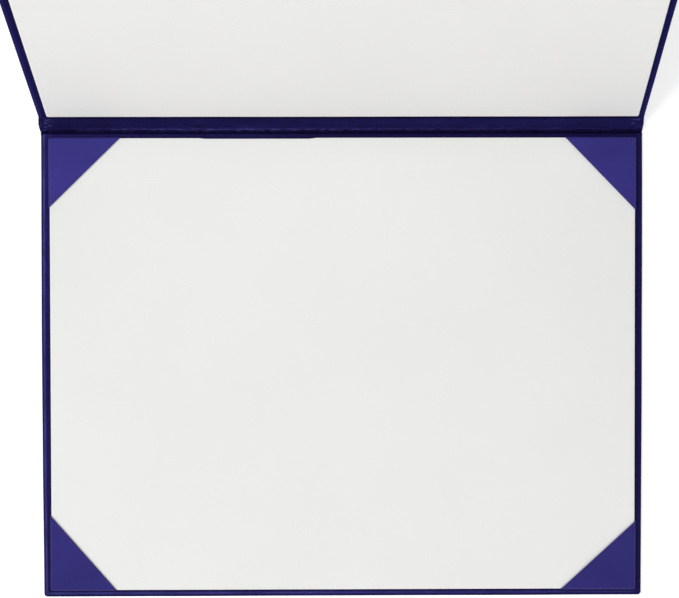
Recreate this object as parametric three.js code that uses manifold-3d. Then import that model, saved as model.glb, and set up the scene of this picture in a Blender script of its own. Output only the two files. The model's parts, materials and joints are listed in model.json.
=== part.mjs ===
// Diploma cover that opens upwards: a base panel and a lid panel of greyboard in one leatherette
// wrap, joined by a soft spine. A white card in the base holds the diploma by four corner pockets,
// and a white liner faces the inside of the lid.
// Millimetres. +X is right, +Y runs from the front edge to the spine, +Z is up.
// The origin is the middle of the base's underside.
import * as THREE from "three";
import { mergeVertices } from "three/addons/utils/BufferGeometryUtils.js";
import Module from "manifold-3d";

const wasm = await Module();
wasm.setup();

// The diploma that the cover is made for, 11 by 8.5 inches.
const SHEET_WIDTH = 279.4;
const SHEET_DEPTH = 215.9;

// Thicknesses of the sheets and boards, and of the glue line between any two of them.
const WRAP_THICKNESS = 0.5;
const BOARD_THICKNESS = 2.0;
const CARD_THICKNESS = 0.8;
const LINER_THICKNESS = 0.3;
const POCKET_THICKNESS = 0.4;
const GLUE_LINE = 0.1;

// What shows of the wrap round the white card and liner.
const SIDE_BORDER = 4.2;
const FRONT_BORDER = 3.6;
const SPINE_BORDER = 3.5;
const INSERT_SHIFT = 0.3;

// Each panel's outer shape, and the wrap that is turned in over the board.
const PANEL_CORNER_RADIUS = 1.6;
const PANEL_EDGE_RADIUS = 1.0;
const TURN_IN = 15;
const MITRE_SLIT = 0.25;
const BOARD_SETBACK = 2.4;

// The leatherette strip that lines the inside of the spine.
const LINING_LEG = 14;
const LINING_END_GAP = 0.3;
const LINING_HOLLOW_RADIUS = 0.15;
const LINING_BEND_RADIUS = 0.4;

// The soft spine, with a fold along each long side, and how far the cover stands open.
const FOLD_GAP = 0.35;
const CLOSED_GAP = 0.45;
const SPINE_ANGLE = 34;
const LID_ANGLE = 25;

// The corners of the white card and the lid's liner.
const PAPER_CORNER_RADIUS = 0.8;

// The corner pockets: room for the diploma, width of the flaps glued behind the card, outer radius
// of their folds, and the two legs of each triangle, which are set by hand and so differ a little.
const SLOT_ROOM = 0.25;
const POCKET_FLAP = 12;
const POCKET_FOLD_RADIUS = 0.45;
const FRONT_LEFT_LEG_X = 30.6;
const FRONT_LEFT_LEG_Y = 35.2;
const FRONT_RIGHT_LEG_X = 35.4;
const FRONT_RIGHT_LEG_Y = 32.1;
const BACK_LEFT_LEG_X = 33.5;
const BACK_LEFT_LEG_Y = 32.7;
const BACK_RIGHT_LEG_X = 32.3;
const BACK_RIGHT_LEG_Y = 34.1;

// Facets of each quarter turn.
const ARC_SEGMENTS = 5;

// A panel's own frame has its origin on the fold beside the spine, at the wrap's inner face, with
// +Y away from the spine and +Z towards the inside of the cover.
const PANEL_WIDTH = SHEET_WIDTH + 2 * SIDE_BORDER;
const PANEL_DEPTH = SHEET_DEPTH + FRONT_BORDER + SPINE_BORDER;
const BOARD_LOW = GLUE_LINE;
const BOARD_TOP = BOARD_LOW + BOARD_THICKNESS;
const TURN_IN_LOW = BOARD_TOP + GLUE_LINE;
const TURN_IN_TOP = TURN_IN_LOW + WRAP_THICKNESS;
const SHEET_END = WRAP_THICKNESS + FOLD_GAP;
const LINING_WIDTH = PANEL_WIDTH - 2 * (TURN_IN + LINING_END_GAP);

// Heights above the wrap's inner face in the base and the lid.
const FLAP_LOW = TURN_IN_TOP + GLUE_LINE;
const CARD_LOW = FLAP_LOW + POCKET_THICKNESS + GLUE_LINE;
const CARD_TOP = CARD_LOW + CARD_THICKNESS;
const POCKET_LOW = CARD_TOP + SLOT_ROOM;
const POCKET_TOP = POCKET_LOW + POCKET_THICKNESS;
const LINER_LOW = TURN_IN_TOP + GLUE_LINE;
const LINER_TOP = LINER_LOW + LINER_THICKNESS;

// The spine is just wide enough for the shut lid to lie parallel to the base.
const SPINE_WIDTH = POCKET_TOP + CLOSED_GAP + LINER_TOP;

const leatherette = new THREE.MeshStandardMaterial({ color: 0x26215a, roughness: 0.45 });
const pocketLeatherette = new THREE.MeshStandardMaterial({ color: 0x38317b, roughness: 0.5 });
const whitePaper = new THREE.MeshStandardMaterial({ color: 0xebebe9, roughness: 0.85 });
const greyboard = new THREE.MeshStandardMaterial({ color: 0x8c8578, roughness: 0.95 });

// Solids and geometries

function toSolid(geometry) {
  const bare = geometry.clone();
  bare.deleteAttribute("normal");
  bare.deleteAttribute("uv");
  const merged = mergeVertices(bare, 1e-4);
  const mesh = new wasm.Mesh({
    numProp: 3,
    vertProperties: merged.attributes.position.array,
    triVerts: new Uint32Array(merged.index.array),
  });
  return new wasm.Manifold(mesh);
}

function toGeometry(solid) {
  const { vertProperties, triVerts } = solid.getMesh();
  const indexed = new THREE.BufferGeometry();
  indexed.setAttribute("position", new THREE.BufferAttribute(vertProperties, 3));
  indexed.setIndex(new THREE.BufferAttribute(triVerts, 1));
  const flat = indexed.toNonIndexed();
  flat.computeVertexNormals();
  return flat;
}

function extrude(shape, depth) {
  return new THREE.ExtrudeGeometry(shape, {
    depth,
    bevelEnabled: false,
    curveSegments: ARC_SEGMENTS,
  });
}

// A shape drawn in X and Y, as a plate between two heights.
function plate(shape, low, high) {
  return toSolid(extrude(shape, high - low).translate(0, 0, low));
}

// A shape drawn in Y and Z, swept along X between two places.
function sweepAlongX(shape, from, to) {
  const turned = extrude(shape, to - from).rotateX(Math.PI / 2).rotateZ(Math.PI / 2);
  return toSolid(turned.translate(from, 0, 0));
}

// A shape drawn in X and Z, swept along Y between two places.
function sweepAlongY(shape, from, to) {
  return toSolid(extrude(shape, to - from).rotateX(Math.PI / 2).translate(0, to, 0));
}

function outline(points) {
  return new THREE.Shape(points.map(([x, y]) => new THREE.Vector2(x, y)));
}

function roundedRectangle(left, right, low, high, radius) {
  const shape = new THREE.Shape();
  shape.moveTo(left + radius, low);
  shape.lineTo(right - radius, low);
  shape.absarc(right - radius, low + radius, radius, -Math.PI / 2, 0);
  shape.lineTo(right, high - radius);
  shape.absarc(right - radius, high - radius, radius, 0, Math.PI / 2);
  shape.lineTo(left + radius, high);
  shape.absarc(left + radius, high - radius, radius, Math.PI / 2, Math.PI);
  shape.lineTo(left, low + radius);
  shape.absarc(left + radius, low + radius, radius, Math.PI, 1.5 * Math.PI);
  return shape;
}

// A panel-sized slab with round edges, taken in by an inset on its three free sides.
function roundedSlab(inset, backEnd, low, high) {
  const edge = PANEL_EDGE_RADIUS - inset;
  const side = PANEL_WIDTH / 2 - inset - edge;
  const front = PANEL_DEPTH - inset - edge;
  const corner = Math.max(PANEL_CORNER_RADIUS - PANEL_EDGE_RADIUS, edge / ARC_SEGMENTS);
  const shape = roundedRectangle(-side, side, backEnd + edge, front, corner);
  const slab = new THREE.ExtrudeGeometry(shape, {
    depth: high - low - 2 * edge,
    bevelThickness: edge,
    bevelSize: edge,
    bevelSegments: ARC_SEGMENTS,
    curveSegments: ARC_SEGMENTS,
  });
  return toSolid(slab.translate(0, 0, low + edge));
}

// One panel: wrap, board and its leg of the spine lining

// The slit where the two turned-in flaps meet at a front corner.
function mitreSlit(side) {
  const half = MITRE_SLIT / Math.SQRT2;
  const innerX = PANEL_WIDTH / 2 - TURN_IN;
  const innerY = PANEL_DEPTH - TURN_IN;
  const reach = TURN_IN - PANEL_EDGE_RADIUS;
  const slit = outline([
    [side * (innerX - half), innerY],
    [side * innerX, innerY - half],
    [side * (innerX + reach + half), innerY + reach],
    [side * (innerX + reach), innerY + reach + half],
  ]);
  return plate(slit, TURN_IN_LOW - GLUE_LINE, TURN_IN_TOP + GLUE_LINE);
}

// The leatherette round one board: an outer sheet, three edges, and the flaps turned in.
function panelWrap() {
  const past = TURN_IN;
  const outside = roundedSlab(0, -past, -WRAP_THICKNESS, TURN_IN_TOP);
  const inside = roundedSlab(WRAP_THICKNESS, -2 * past, 0, TURN_IN_LOW);
  const windowShape = outline([
    [TURN_IN - PANEL_WIDTH / 2, -2 * past],
    [PANEL_WIDTH / 2 - TURN_IN, -2 * past],
    [PANEL_WIDTH / 2 - TURN_IN, PANEL_DEPTH - TURN_IN],
    [TURN_IN - PANEL_WIDTH / 2, PANEL_DEPTH - TURN_IN],
  ]);
  const window = plate(windowShape, BOARD_TOP, TURN_IN_TOP + WRAP_THICKNESS);
  // The side edges run down to the spine where the board ends.
  const kept = outline([
    [SHEET_END, -2 * WRAP_THICKNESS],
    [PANEL_DEPTH + past, -2 * WRAP_THICKNESS],
    [PANEL_DEPTH + past, TURN_IN_TOP + WRAP_THICKNESS],
    [BOARD_SETBACK, TURN_IN_TOP + WRAP_THICKNESS],
    [BOARD_SETBACK, TURN_IN_TOP],
    [SHEET_END, GLUE_LINE],
  ]);
  return outside
    .subtract(inside)
    .subtract(window)
    .subtract(mitreSlit(-1))
    .subtract(mitreSlit(1))
    .intersect(sweepAlongX(kept, -PANEL_WIDTH, PANEL_WIDTH));
}

function panelBoard() {
  return roundedSlab(WRAP_THICKNESS + GLUE_LINE, BOARD_SETBACK, BOARD_LOW, BOARD_TOP);
}

// The lining's strip on a panel: a foot beside the fold, up the board's edge and over its face.
function liningLeg() {
  const footTop = GLUE_LINE + WRAP_THICKNESS;
  const boardSide = BOARD_SETBACK - GLUE_LINE;
  const spineSide = boardSide - WRAP_THICKNESS;
  const legEnd = BOARD_SETBACK + LINING_LEG;
  const hollow = { y: spineSide - LINING_HOLLOW_RADIUS, z: footTop + LINING_HOLLOW_RADIUS };
  const bend = { y: boardSide + LINING_BEND_RADIUS, z: TURN_IN_LOW - LINING_BEND_RADIUS };
  const shape = new THREE.Shape();
  shape.moveTo(SHEET_END, GLUE_LINE);
  shape.lineTo(hollow.y, GLUE_LINE);
  shape.absarc(hollow.y, hollow.z, LINING_HOLLOW_RADIUS + WRAP_THICKNESS, -Math.PI / 2, 0);
  shape.lineTo(boardSide, bend.z);
  shape.absarc(bend.y, bend.z, LINING_BEND_RADIUS, Math.PI, Math.PI / 2, true);
  shape.lineTo(legEnd, TURN_IN_LOW);
  shape.lineTo(legEnd, TURN_IN_TOP);
  shape.lineTo(bend.y, TURN_IN_TOP);
  shape.absarc(bend.y, bend.z, LINING_BEND_RADIUS + WRAP_THICKNESS, Math.PI / 2, Math.PI);
  shape.lineTo(spineSide, hollow.z);
  shape.absarc(hollow.y, hollow.z, LINING_HOLLOW_RADIUS, 0, -Math.PI / 2, true);
  shape.lineTo(SHEET_END, footTop);
  return sweepAlongX(shape, -LINING_WIDTH / 2, LINING_WIDTH / 2);
}

// The spine: its stretch of the wrap, turned in at both ends, and of the lining

function spineWrap() {
  const side = PANEL_WIDTH / 2;
  const turnTop = GLUE_LINE + WRAP_THICKNESS;
  const outerRadius = (turnTop + WRAP_THICKNESS) / 2;
  const middle = turnTop - outerRadius;
  const section = new THREE.Shape();
  section.moveTo(-side + outerRadius, -WRAP_THICKNESS);
  section.lineTo(side - outerRadius, -WRAP_THICKNESS);
  section.absarc(side - outerRadius, middle, outerRadius, -Math.PI / 2, Math.PI / 2);
  section.lineTo(side - TURN_IN, turnTop);
  section.lineTo(side - TURN_IN, GLUE_LINE);
  section.lineTo(side - outerRadius, GLUE_LINE);
  section.absarc(side - outerRadius, middle, GLUE_LINE / 2, Math.PI / 2, -Math.PI / 2, true);
  section.lineTo(-side + outerRadius, 0);
  section.absarc(-side + outerRadius, middle, GLUE_LINE / 2, 1.5 * Math.PI, Math.PI / 2, true);
  section.lineTo(-side + TURN_IN, GLUE_LINE);
  section.lineTo(-side + TURN_IN, turnTop);
  section.lineTo(-side + outerRadius, turnTop);
  section.absarc(-side + outerRadius, middle, outerRadius, Math.PI / 2, 1.5 * Math.PI);
  // The outer sheet ends in a round nose on each fold, and the flaps end on the fold's line.
  const kept = new THREE.Shape();
  kept.moveTo(0, -WRAP_THICKNESS);
  kept.lineTo(SPINE_WIDTH, -WRAP_THICKNESS);
  kept.absarc(SPINE_WIDTH, 0, WRAP_THICKNESS, -Math.PI / 2, 0);
  kept.lineTo(SPINE_WIDTH, 0);
  kept.lineTo(SPINE_WIDTH, 2 * turnTop);
  kept.lineTo(0, 2 * turnTop);
  kept.lineTo(0, 0);
  kept.lineTo(-WRAP_THICKNESS, 0);
  kept.absarc(0, 0, WRAP_THICKNESS, Math.PI, 1.5 * Math.PI);
  return sweepAlongY(section, -PANEL_DEPTH, PANEL_DEPTH).intersect(
    sweepAlongX(kept, -PANEL_WIDTH, PANEL_WIDTH),
  );
}

function spineLining() {
  const section = outline([
    [0, GLUE_LINE],
    [SPINE_WIDTH, GLUE_LINE],
    [SPINE_WIDTH, GLUE_LINE + WRAP_THICKNESS],
    [0, GLUE_LINE + WRAP_THICKNESS],
  ]);
  return sweepAlongX(section, -LINING_WIDTH / 2, LINING_WIDTH / 2);
}

// The white card and liner

function paperRectangle() {
  const side = SHEET_WIDTH / 2;
  return roundedRectangle(-side, side, 0, SHEET_DEPTH, PAPER_CORNER_RADIUS);
}

function card() {
  return plate(paperRectangle(), CARD_LOW, CARD_TOP);
}

function lidLiner() {
  return plate(paperRectangle(), LINER_LOW, LINER_TOP);
}

// A corner pocket, with the card's corner at the origin and the card towards +X and +Y: a strip of
// folded leatherette whose front spans the corner and whose two flaps are glued behind the card.

function pocketSection(reach) {
  const edge = -(GLUE_LINE + POCKET_THICKNESS);
  const fold = POCKET_FOLD_RADIUS;
  const shape = new THREE.Shape();
  shape.moveTo(POCKET_FLAP, FLAP_LOW + POCKET_THICKNESS);
  shape.lineTo(-GLUE_LINE, FLAP_LOW + POCKET_THICKNESS);
  shape.lineTo(-GLUE_LINE, POCKET_LOW);
  shape.lineTo(reach, POCKET_LOW);
  shape.lineTo(reach, POCKET_TOP);
  shape.lineTo(edge + fold, POCKET_TOP);
  shape.absarc(edge + fold, POCKET_TOP - fold, fold, Math.PI / 2, Math.PI);
  shape.lineTo(edge, FLAP_LOW + fold);
  shape.absarc(edge + fold, FLAP_LOW + fold, fold, Math.PI, 1.5 * Math.PI);
  shape.lineTo(POCKET_FLAP, FLAP_LOW);
  return shape;
}

function cornerPocket(legX, legY) {
  const reach = Math.max(legX, legY);
  const start = -2 * (GLUE_LINE + POCKET_THICKNESS);
  const low = FLAP_LOW - POCKET_THICKNESS;
  const high = POCKET_TOP + POCKET_THICKNESS;
  const overlap = GLUE_LINE / 2;
  // Two folded edges, mitred along the corner's diagonal.
  const besideX = outline([
    [start, start - overlap],
    [reach, reach - overlap],
    [reach, 2 * reach],
    [start, 2 * reach],
  ]);
  const besideY = outline([
    [start - overlap, start],
    [2 * reach, start],
    [2 * reach, reach],
    [reach - overlap, reach],
  ]);
  const foldedX = sweepAlongY(pocketSection(reach), start, reach);
  const foldedY = sweepAlongX(pocketSection(reach), start, reach);
  const corner = foldedX
    .intersect(plate(besideX, low, high))
    .add(foldedY.intersect(plate(besideY, low, high)));
  // The long edge of the front is a fold, so it ends in a round nose.
  const nose = POCKET_THICKNESS / 2;
  const length = Math.hypot(legX, legY);
  const inside = new THREE.Shape();
  inside.moveTo(-reach, low);
  inside.lineTo(0, low);
  inside.lineTo(0, POCKET_LOW - SLOT_ROOM);
  inside.lineTo(-nose, POCKET_LOW);
  inside.absarc(-nose, POCKET_LOW + nose, nose, -Math.PI / 2, Math.PI / 2);
  inside.lineTo(-reach, POCKET_TOP);
  const trim = sweepAlongX(inside, -length, 2 * length);
  const slope = (Math.atan2(-legY, legX) * 180) / Math.PI;
  const keep = trim.rotate([0, 0, slope]).translate([0, legY, 0]);
  // The two flaps behind the card stop short of each other on the diagonal.
  const half = MITRE_SLIT / Math.SQRT2;
  const slit = outline([
    [-GLUE_LINE - half, -GLUE_LINE],
    [-GLUE_LINE, -GLUE_LINE - half],
    [reach, reach - half],
    [reach - half, reach],
  ]);
  return corner.intersect(keep).subtract(plate(slit, low, CARD_LOW));
}

// Assembly

function piece(name, solid, material) {
  const mesh = new THREE.Mesh(toGeometry(solid), material);
  mesh.name = name;
  return mesh;
}

function panel(prefix) {
  const group = new THREE.Group();
  group.add(piece(`${prefix}_wrap`, panelWrap(), leatherette));
  group.add(piece(`${prefix}_board`, panelBoard(), greyboard));
  group.add(piece(`${prefix}_hinge_lining`, liningLeg(), leatherette));
  return group;
}

const cover = new THREE.Group();
const foldY = PANEL_DEPTH / 2;

// The base lies flat, turned so that its free edge is at the front.
const base = panel("base");
base.rotation.z = Math.PI;
base.position.set(0, foldY, WRAP_THICKNESS);
cover.add(base);

const insert = new THREE.Group();
insert.position.set(INSERT_SHIFT, foldY - SPINE_BORDER - SHEET_DEPTH, WRAP_THICKNESS);
insert.add(piece("base_card", card(), whitePaper));
const pockets = [
  ["pocket_front_left", -1, -1, FRONT_LEFT_LEG_X, FRONT_LEFT_LEG_Y],
  ["pocket_front_right", 1, -1, FRONT_RIGHT_LEG_X, FRONT_RIGHT_LEG_Y],
  ["pocket_back_left", -1, 1, BACK_LEFT_LEG_X, BACK_LEFT_LEG_Y],
  ["pocket_back_right", 1, 1, BACK_RIGHT_LEG_X, BACK_RIGHT_LEG_Y],
];
for (const [name, sideX, sideY, legX, legY] of pockets) {
  const pocket = piece(name, cornerPocket(legX, legY), pocketLeatherette);
  pocket.scale.set(-sideX, -sideY, 1);
  pocket.position.set((sideX * SHEET_WIDTH) / 2, sideY > 0 ? SHEET_DEPTH : 0, 0);
  insert.add(pocket);
}
cover.add(insert);

const spine = new THREE.Group();
spine.add(piece("spine_wrap", spineWrap(), leatherette));
spine.add(piece("spine_hinge_lining", spineLining(), leatherette));
spine.position.set(0, foldY, WRAP_THICKNESS);
spine.rotation.x = THREE.MathUtils.degToRad(SPINE_ANGLE);
cover.add(spine);

const lid = panel("lid");
const liner = piece("lid_liner", lidLiner(), whitePaper);
liner.position.set(INSERT_SHIFT, SPINE_BORDER, 0);
lid.add(liner);
lid.position.set(0, SPINE_WIDTH, 0);
lid.rotation.x = THREE.MathUtils.degToRad(LID_ANGLE);
spine.add(lid);

export default cover;
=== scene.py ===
"""Dresses the diploma cover: skins that bend at the spine, folded corner pockets and white papers."""

from __future__ import annotations

import json
import logging
import math
from dataclasses import dataclass, replace
from enum import Enum
from typing import Callable, Sequence

import bmesh
import bpy
from bmesh.types import BMEdge, BMesh, BMVert
from mathutils import Matrix, Vector, noise

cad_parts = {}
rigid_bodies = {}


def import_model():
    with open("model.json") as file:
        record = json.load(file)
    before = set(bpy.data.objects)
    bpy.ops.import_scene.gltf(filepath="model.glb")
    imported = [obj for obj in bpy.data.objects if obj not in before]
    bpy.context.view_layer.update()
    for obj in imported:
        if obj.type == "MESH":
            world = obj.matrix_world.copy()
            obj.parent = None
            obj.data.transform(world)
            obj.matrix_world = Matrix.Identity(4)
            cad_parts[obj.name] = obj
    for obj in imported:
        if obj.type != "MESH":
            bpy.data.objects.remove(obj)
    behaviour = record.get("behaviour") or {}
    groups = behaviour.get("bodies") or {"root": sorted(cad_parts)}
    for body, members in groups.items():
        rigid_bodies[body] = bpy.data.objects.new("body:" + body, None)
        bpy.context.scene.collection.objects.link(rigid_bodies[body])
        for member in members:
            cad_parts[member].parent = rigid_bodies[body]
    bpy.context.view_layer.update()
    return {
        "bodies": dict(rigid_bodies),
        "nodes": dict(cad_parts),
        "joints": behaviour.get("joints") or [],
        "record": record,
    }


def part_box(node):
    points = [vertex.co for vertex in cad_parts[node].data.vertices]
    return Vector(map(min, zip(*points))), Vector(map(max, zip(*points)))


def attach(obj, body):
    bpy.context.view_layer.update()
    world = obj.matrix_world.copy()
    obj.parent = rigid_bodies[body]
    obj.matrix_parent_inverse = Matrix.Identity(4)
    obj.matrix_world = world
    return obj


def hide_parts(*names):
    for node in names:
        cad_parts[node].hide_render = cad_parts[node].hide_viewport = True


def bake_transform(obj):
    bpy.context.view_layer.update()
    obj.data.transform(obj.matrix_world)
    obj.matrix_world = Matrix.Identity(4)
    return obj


Colour = tuple[float, float, float]
Stretch = tuple[float, float]

MM = 0.001
SHEET_ATTRIBUTE = "sheet"
# The attribute that paints highlights: a lighter colour along the rims, the ridge and the spine's ends
PAINTED_HIGHLIGHT_ATTRIBUTE = "painted_highlight"

# Lengths for picking and cleaning vertices, and a length that is past every piece
TOUCH = 0.01 * MM
MERGED = 0.004 * MM
SLIVER = 0.002 * MM
ON_PLANE = 0.0001 * MM
ENDLESS = 10.0

# The values between which cloudy noise mostly lies, and the Mix node's colour sockets
CLOUD_LOW, CLOUD_HIGH = 0.3, 0.7
MIX_FIRST, MIX_SECOND, MIX_RESULT = 6, 7, 2

log = logging.getLogger("diploma_cover")


def smooth_step(low: float, high: float, value: float) -> float:
    """Rise smoothly from 0 at low to 1 at high."""
    share = min(1.0, max(0.0, (value - low) / (high - low)))
    return share * share * (3 - 2 * share)


def plateau(rise: Stretch, fall: Stretch, value: float) -> float:
    """Rise smoothly from 0 to 1 over one stretch, and fall back to 0 over a later one."""
    return smooth_step(*rise, value) * (1 - smooth_step(*fall, value))


def hump(value: float, centre: float, reach: float) -> float:
    """A bell of height 1 round centre that is all but gone at twice its reach."""
    return math.exp(-(((value - centre) / reach) ** 2))


def ripple(x: float, y: float, seed: float) -> float:
    """Smooth noise between about -1 and 1 at a place that is counted in wavelengths."""
    return noise.noise(Vector((x, y, seed)))


# Mesh tools


def graded(low: float, fine_end: float, high: float, fine: float, coarse: float) -> list[float]:
    """Stations from low to high, close together up to fine_end and then further and further apart.

    Args:
        low: The first station.
        fine_end: Where the close spacing ends.
        high: The last station.
        fine: The close spacing.
        coarse: The widest spacing.

    Returns:
        The stations in rising order.
    """
    count = max(1, round((fine_end - low) / fine))
    stations = [low + (fine_end - low) * i / count for i in range(count + 1)]
    step = fine
    while stations[-1] + 1.4 * step < high:
        step = min(coarse, 1.3 * step)
        stations.append(stations[-1] + step)
    if stations[-1] > high - 0.4 * step:
        stations.pop()
    return stations + [high]


def sweep(chain: Sequence[Vector], length: float, steps: int) -> BMesh:
    """Sweep a chain of points along +X as a sheet of quads.

    Args:
        chain: The points, in order.
        length: How far the chain is swept.
        steps: How many quads lie along the sweep.

    Returns:
        A new bmesh that holds the sheet.
    """
    bm = bmesh.new()
    bm.verts.layers.float_vector.new(SHEET_ATTRIBUTE)
    verts = [bm.verts.new(point) for point in chain]
    edges = [bm.edges.new(pair) for pair in zip(verts, verts[1:])]
    bmesh.ops.spin(
        bm, geom=edges, cent=(0, 0, 0), axis=(1, 0, 0), dvec=(length / steps, 0, 0), angle=0.0,
        steps=steps, use_merge=False,
    )
    return bm


class Rounded(Enum):
    """What a round is cut from."""

    CORNERS = "VERTICES"
    EDGES = "EDGES"


def round_off(
    bm: BMesh, rounded: Rounded, picked: Sequence[BMVert] | Sequence[BMEdge], radius: float,
    segments: int,
) -> None:
    """Round the corners of a flat sheet's outline, or the edges of a solid.

    Args:
        bm: The sheet or solid.
        rounded: Whether corners or edges are picked.
        picked: The corner vertices or the edges.
        radius: The round's radius.
        segments: How many facets the round has.
    """
    bmesh.ops.bevel(
        bm, geom=picked, offset=radius, offset_type="OFFSET", segments=segments, profile=0.5,
        affect=rounded.value, clamp_overlap=True, material=-1,
    )


def roll_rim(
    bm: BMesh, rim: Sequence[BMEdge], rows: int, place: Callable[[Vector, int], Vector]
) -> None:
    """Extrude a sheet's rim row by row, each row placed from where the rim began.

    Args:
        bm: The sheet.
        rim: The boundary edges to roll.
        rows: How many rows are added.
        place: Gives a vertex's place from its place on the rim and its row.
    """
    start = bm.verts.layers.float_vector[SHEET_ATTRIBUTE]
    for vert in {vert for edge in rim for vert in edge.verts}:
        vert[start] = vert.co
    edges = list(rim)
    for row in range(rows):
        made = bmesh.ops.extrude_edge_only(bm, edges=edges)["geom"]
        verts = {item for item in made if isinstance(item, BMVert)}
        for vert in verts:
            vert.co = place(Vector(vert[start]), row)
        edges = [
            item for item in made
            if isinstance(item, BMEdge) and item.verts[0] in verts and item.verts[1] in verts
        ]


def outset(point: Vector, distance: float, low: Vector, high: Vector, corner: float) -> Vector:
    """Move a point of a rectangle's rounded outline straight out, or in when distance is negative.

    Args:
        point: A point on the outline.
        distance: How far it moves.
        low: The rectangle's low corner.
        high: The rectangle's high corner.
        corner: The outline's corner radius.

    Returns:
        The moved point, with the same height.
    """
    if distance >= -corner:
        core = Vector((
            min(max(point.x, low.x + corner), high.x - corner),
            min(max(point.y, low.y + corner), high.y - corner),
            point.z,
        ))
        return point + (point - core).normalized() * distance
    return Vector((
        min(max(point.x, low.x - distance), high.x + distance),
        min(max(point.y, low.y - distance), high.y + distance),
        point.z,
    ))


def rolled_edge(
    radius: float, low: float, high: float, insets: Sequence[float]
) -> list[tuple[float, float]]:
    """A sheet's way round an edge: a quarter round, a wall, a quarter round and a turned-in flap.

    Args:
        radius: The radius of both rounds.
        low: The height where the roll begins.
        high: The height of the flap.
        insets: How far the flap's rows lie inside the outermost point.

    Returns:
        Pairs of outset from the outermost point, which is negative, and height.
    """
    turn = [math.radians(angle) for angle in (18, 36, 54, 72, 90)]
    rows = [(radius * math.sin(a) - radius, low + radius - radius * math.cos(a)) for a in turn]
    rows.append((0.0, (low + high) / 2))
    rows += [(radius * math.cos(a) - radius, high - radius + radius * math.sin(a)) for a in [0] + turn]
    return rows + [(-inset, high) for inset in insets]


def thicken(bm: BMesh, thickness: float) -> None:
    """Merge a sheet's doubles, face it outwards and give it a wall on its inner side.

    Args:
        bm: The sheet.
        thickness: The wall's thickness.
    """
    bmesh.ops.remove_doubles(bm, verts=bm.verts, dist=MERGED)
    bmesh.ops.dissolve_degenerate(bm, dist=SLIVER, edges=bm.edges)
    bmesh.ops.recalc_face_normals(bm, faces=bm.faces)
    bmesh.ops.solidify(bm, geom=list(bm.faces), thickness=thickness)
    bmesh.ops.recalc_face_normals(bm, faces=bm.faces)


def remember_places(bm: BMesh) -> None:
    """Store each vertex's place on the unfolded piece, which its pattern follows.

    Args:
        bm: The piece before it is folded.
    """
    layer = bm.verts.layers.float_vector[SHEET_ATTRIBUTE]
    for vert in bm.verts:
        vert[layer] = vert.co


def set_painted_highlight(bm: BMesh, painted_highlight: Callable[[float, float], float]) -> None:
    """Store how much painted highlight each vertex gets.

    Args:
        bm: The piece, with its unfolded places stored.
        painted_highlight: Gives the painted highlight at a place on the unfolded piece, where 1 is the full
            lighter tone.
    """
    place = bm.verts.layers.float_vector[SHEET_ATTRIBUTE]
    layer = bm.verts.layers.float.new(PAINTED_HIGHLIGHT_ATTRIBUTE)
    for vert in bm.verts:
        vert[layer] = min(1.0, max(0.0, painted_highlight(vert[place].x, vert[place].y)))


def finish_mesh(
    name: str, bm: BMesh, material: bpy.types.Material, crease: float = 50
) -> bpy.types.Object:
    """Turn a bmesh into a smooth-shaded object with its place in its mesh.

    Args:
        name: The object's name.
        bm: The finished mesh, which is freed.
        material: Its material.
        crease: The angle in degrees past which an edge stays sharp.

    Returns:
        The new object.
    """
    mesh = bpy.data.meshes.new(name)
    bm.to_mesh(mesh)
    bm.free()
    mesh.shade_smooth()
    mesh.set_sharp_from_angle(angle=math.radians(crease))
    mesh.materials.append(material)
    piece = bpy.data.objects.new(name, mesh)
    bpy.context.scene.collection.objects.link(piece)
    return piece


# Finishes


class Follow(Enum):
    """What a finish's pattern is laid on."""

    OBJECT = "object"
    SHEET = "sheet"


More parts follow.
